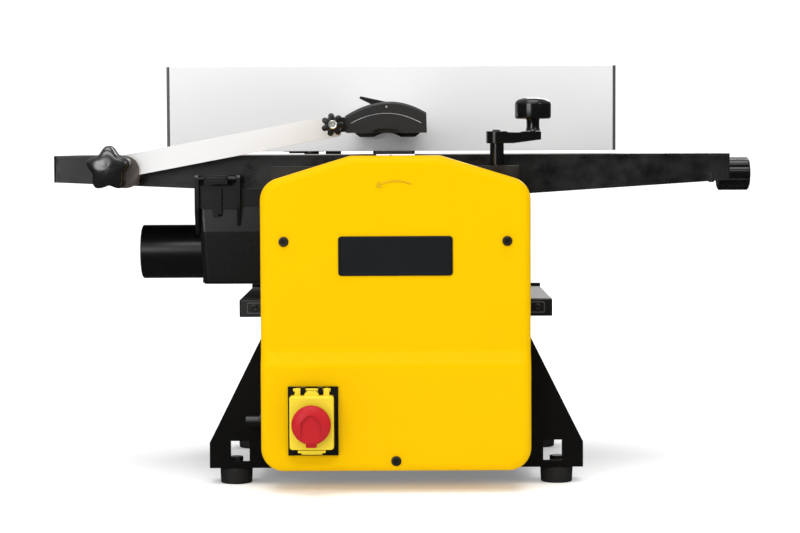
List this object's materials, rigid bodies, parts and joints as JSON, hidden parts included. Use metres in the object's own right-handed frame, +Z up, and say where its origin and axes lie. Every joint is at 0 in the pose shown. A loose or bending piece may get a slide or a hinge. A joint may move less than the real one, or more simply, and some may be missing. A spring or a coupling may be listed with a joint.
{
  "type": "planer thicknesser",
  "caption": "Bench surface planer and thicknesser with fence, bridge guard, height crank, dust hood and safety switch.",
  "frame": {"origin": "centre of the bounding box on the bench, under the feet", "axes": "+X along the tables to the infeed end, +Y to the rear where the fence is, +Z up"},
  "size_m": [0.7777, 0.4651, 0.459],
  "materials": {
    "arm_aluminium": "satin",
    "black_casting": "satin",
    "black_plastic": "satin",
    "black_screw": "satin",
    "black_sheet": "satin",
    "cast_aluminium": "rough",
    "chain_steel": "satin",
    "fence_aluminium": "brushed",
    "flap_plastic": "gloss",
    "green_plastic": "gloss",
    "knob_plastic": "satin",
    "motor_paint": "satin",
    "name_plate": "satin",
    "red_plastic": "gloss",
    "rubber": "matte",
    "steel": "brushed",
    "yellow_cover": "gloss",
    "zinc": "satin"
  },
  "bodies": {
    "frame": {"front_side_plate": "black_sheet", "rear_side_plate": "black_sheet", "base_frame": "black_sheet", "rubber_feet": "rubber", "foot_bolts": "black_screw", "front_head": "black_casting", "rear_head": "black_casting", "head_tie_bars": "steel", "front_cover": "yellow_cover", "rear_cover": "black_plastic", "cover_screws": "black_screw", "name_plate": "name_plate", "switch_plate": "black_plastic", "switch_housing": "black_plastic", "outfeed_table": "black_casting", "motor": "motor_paint", "cutter_bearings": "steel", "lift_chain": "chain_steel", "drive_belt": "rubber", "feed_gearbox": "cast_aluminium", "feed_chain": "chain_steel", "guard_arm_boss": "black_casting", "fence_base": "black_casting", "cable_gland": "black_plastic"},
    "infeed": {"infeed_table": "black_casting"},
    "depth_screw": {"depth_rod": "zinc", "end_knob": "knob_plastic"},
    "cutter": {"cutter_block": "steel", "cutter_knives": "steel", "knife_clamps": "steel", "cutter_pulley": "cast_aluminium"},
    "motor_shaft": {"motor_pulley": "cast_aluminium"},
    "infeed_feed": {"infeed_roller": "steel"},
    "outfeed_feed": {"outfeed_roller": "steel"},
    "pawls": {"kickback_pawls": "zinc"},
    "bed": {"thickness_table": "black_casting"},
    "screw_front_right": {"lift_screw_front_right": "zinc", "crank_arm": "knob_plastic"},
    "screw_front_left": {"lift_screw_front_left": "zinc"},
    "screw_rear_right": {"lift_screw_rear_right": "zinc"},
    "screw_rear_left": {"lift_screw_rear_left": "zinc"},
    "crank_grip": {"crank_knob": "knob_plastic"},
    "arm": {"guard_arm": "arm_aluminium"},
    "arm_knob": {"star_knob": "knob_plastic"},
    "holder": {"guard_holder": "black_plastic"},
    "tilt_knob": {"guard_tilt_knob": "knob_plastic"},
    "cam": {"guard_cam_lever": "knob_plastic"},
    "bridge": {"guard_profile": "arm_aluminium", "guard_end_cap": "black_plastic"},
    "carriage": {"fence_carriage": "black_casting"},
    "fence": {"fence_bracket": "black_casting", "fence_plate": "fence_aluminium", "fence_end_caps": "black_plastic"},
    "fence_lock": {"fence_slide_lever": "knob_plastic"},
    "hood": {"dust_hood": "black_plastic"},
    "latch": {"hood_latch": "black_plastic"},
    "start": {"start_button": "green_plastic"},
    "stop": {"stop_button": "red_plastic"},
    "flap": {"switch_flap": "flap_plastic"},
    "mushroom": {"stop_mushroom": "red_plastic"}
  },
  "joints": [
    {"name": "infeed_depth", "type": "slide", "parent": "frame", "child": "infeed", "axis": [0, 0, 1], "range_m": [-0.003, 0]},
    {"name": "depth_knob_turn", "type": "hinge", "parent": "infeed", "child": "depth_screw", "pos_m": [0.365, 0.0275, 0.3315], "axis": [1, 0, 0], "range_deg": [-360, 0]},
    {"name": "cutter_spin", "type": "hinge", "parent": "frame", "child": "cutter", "pos_m": [-0.015, 0.0275, 0.33], "axis": [0, 1, 0], "continuous": true},
    {"name": "motor_spin", "type": "hinge", "parent": "frame", "child": "motor_shaft", "pos_m": [0.027, -0.1555, 0.096], "axis": [0, 1, 0], "continuous": true},
    {"name": "infeed_roller_spin", "type": "hinge", "parent": "frame", "child": "infeed_feed", "pos_m": [0.035, 0.0275, 0.319], "axis": [0, 1, 0], "continuous": true},
    {"name": "outfeed_roller_spin", "type": "hinge", "parent": "frame", "child": "outfeed_feed", "pos_m": [-0.065, 0.0275, 0.319], "axis": [0, 1, 0], "continuous": true},
    {"name": "pawls_swing", "type": "hinge", "parent": "frame", "child": "pawls", "pos_m": [0.064, 0.0275, 0.322], "axis": [0, 1, 0], "range_deg": [0, 20]},
    {"name": "thickness_lift", "type": "slide", "parent": "frame", "child": "bed", "axis": [0, 0, 1], "range_m": [-0.012, 0.012]},
    {"name": "crank_turn", "type": "hinge", "parent": "frame", "child": "screw_front_right", "pos_m": [0.095, -0.1025, 0.367], "axis": [0, 0, 1], "range_deg": [-1080, 1080]},
    {"name": "front_left_screw_turn", "type": "hinge", "parent": "frame", "child": "screw_front_left", "pos_m": [-0.125, -0.1025, 0.1], "axis": [0, 0, 1], "range_deg": [-1080, 1080]},
    {"name": "rear_right_screw_turn", "type": "hinge", "parent": "frame", "child": "screw_rear_right", "pos_m": [0.095, 0.1575, 0.1], "axis": [0, 0, 1], "range_deg": [-1080, 1080]},
    {"name": "rear_left_screw_turn", "type": "hinge", "parent": "frame", "child": "screw_rear_left", "pos_m": [-0.125, 0.1575, 0.1], "axis": [0, 0, 1], "range_deg": [-1080, 1080]},
    {"name": "crank_knob_spin", "type": "hinge", "parent": "screw_front_right", "child": "crank_grip", "pos_m": [0.134, -0.1025, 0.4], "axis": [0, 0, 1], "continuous": true},
    {"name": "guard_arm_swing", "type": "hinge", "parent": "frame", "child": "arm", "pos_m": [-0.321, -0.0995, 0.3415], "axis": [0, 1, 0], "range_deg": [-20, 1.5]},
    {"name": "star_knob_turn", "type": "hinge", "parent": "frame", "child": "arm_knob", "pos_m": [-0.321, -0.1225, 0.3415], "axis": [0, 1, 0], "range_deg": [0, 360]},
    {"name": "guard_tilt", "type": "hinge", "parent": "arm", "child": "holder", "pos_m": [-0.0815, -0.1025, 0.3875], "axis": [0, 1, 0], "range_deg": [-12, 3]},
    {"name": "tilt_knob_turn", "type": "hinge", "parent": "holder", "child": "tilt_knob", "pos_m": [-0.0815, -0.1225, 0.3875], "axis": [0, 1, 0], "range_deg": [0, 360]},
    {"name": "cam_lever_open", "type": "hinge", "parent": "holder", "child": "cam", "pos_m": [-0.0245, -0.0945, 0.408], "axis": [0, 1, 0], "range_deg": [0, 60]},
    {"name": "guard_slide", "type": "slide", "parent": "holder", "child": "bridge", "axis": [0, 1, 0], "range_m": [-0.06, 0.002]},
    {"name": "fence_slide", "type": "slide", "parent": "frame", "child": "carriage", "axis": [0, 1, 0], "range_m": [-0.006, 0.03]},
    {"name": "fence_tilt", "type": "hinge", "parent": "carriage", "child": "fence", "pos_m": [-0.125, 0.149, 0.364], "axis": [1, 0, 0], "range_deg": [-45, 0]},
    {"name": "fence_lock_turn", "type": "hinge", "parent": "carriage", "child": "fence_lock", "pos_m": [-0.125, 0.1855, 0.38], "axis": [0, 0, 1], "range_deg": [0, 60]},
    {"name": "hood_pull", "type": "slide", "parent": "frame", "child": "hood", "axis": [-1, 0, 0], "range_m": [0, 0.055]},
    {"name": "hood_latch_swing", "type": "hinge", "parent": "hood", "child": "latch", "pos_m": [-0.205, -0.091, 0.3295], "axis": [1, 0, 0], "range_deg": [-60, 0]},
    {"name": "start_press", "type": "slide", "parent": "frame", "child": "start", "axis": [0, 1, 0], "range_m": [0, 0.003], "stiffness_N_per_m": 300, "springref_m": -0.001},
    {"name": "stop_press", "type": "slide", "parent": "frame", "child": "stop", "axis": [0, 1, 0], "range_m": [0, 0.003], "stiffness_N_per_m": 300, "springref_m": -0.001},
    {"name": "flap_open", "type": "hinge", "parent": "frame", "child": "flap", "pos_m": [-0.1027, -0.201, 0.111], "axis": [1, 0, 0], "range_deg": [-100, 0]},
    {"name": "mushroom_press", "type": "slide", "parent": "flap", "child": "mushroom", "axis": [0, 1, 0], "range_m": [0, 0.004], "stiffness_N_per_m": 300, "springref_m": -0.001}
  ],
  "couplings": [
    {"joint": "depth_knob_turn", "follows": "infeed_depth", "rad_per_m": 2094.4},
    {"joint": "motor_spin", "follows": "cutter_spin", "ratio": 0.697},
    {"joint": "infeed_roller_spin", "follows": "cutter_spin", "ratio": -0.0094},
    {"joint": "outfeed_roller_spin", "follows": "cutter_spin", "ratio": -0.0094},
    {"joint": "crank_turn", "follows": "thickness_lift", "rad_per_m": 1570.8},
    {"joint": "front_left_screw_turn", "follows": "thickness_lift", "rad_per_m": 1570.8},
    {"joint": "rear_right_screw_turn", "follows": "thickness_lift", "rad_per_m": 1570.8},
    {"joint": "rear_left_screw_turn", "follows": "thickness_lift", "rad_per_m": 1570.8}
  ]
}
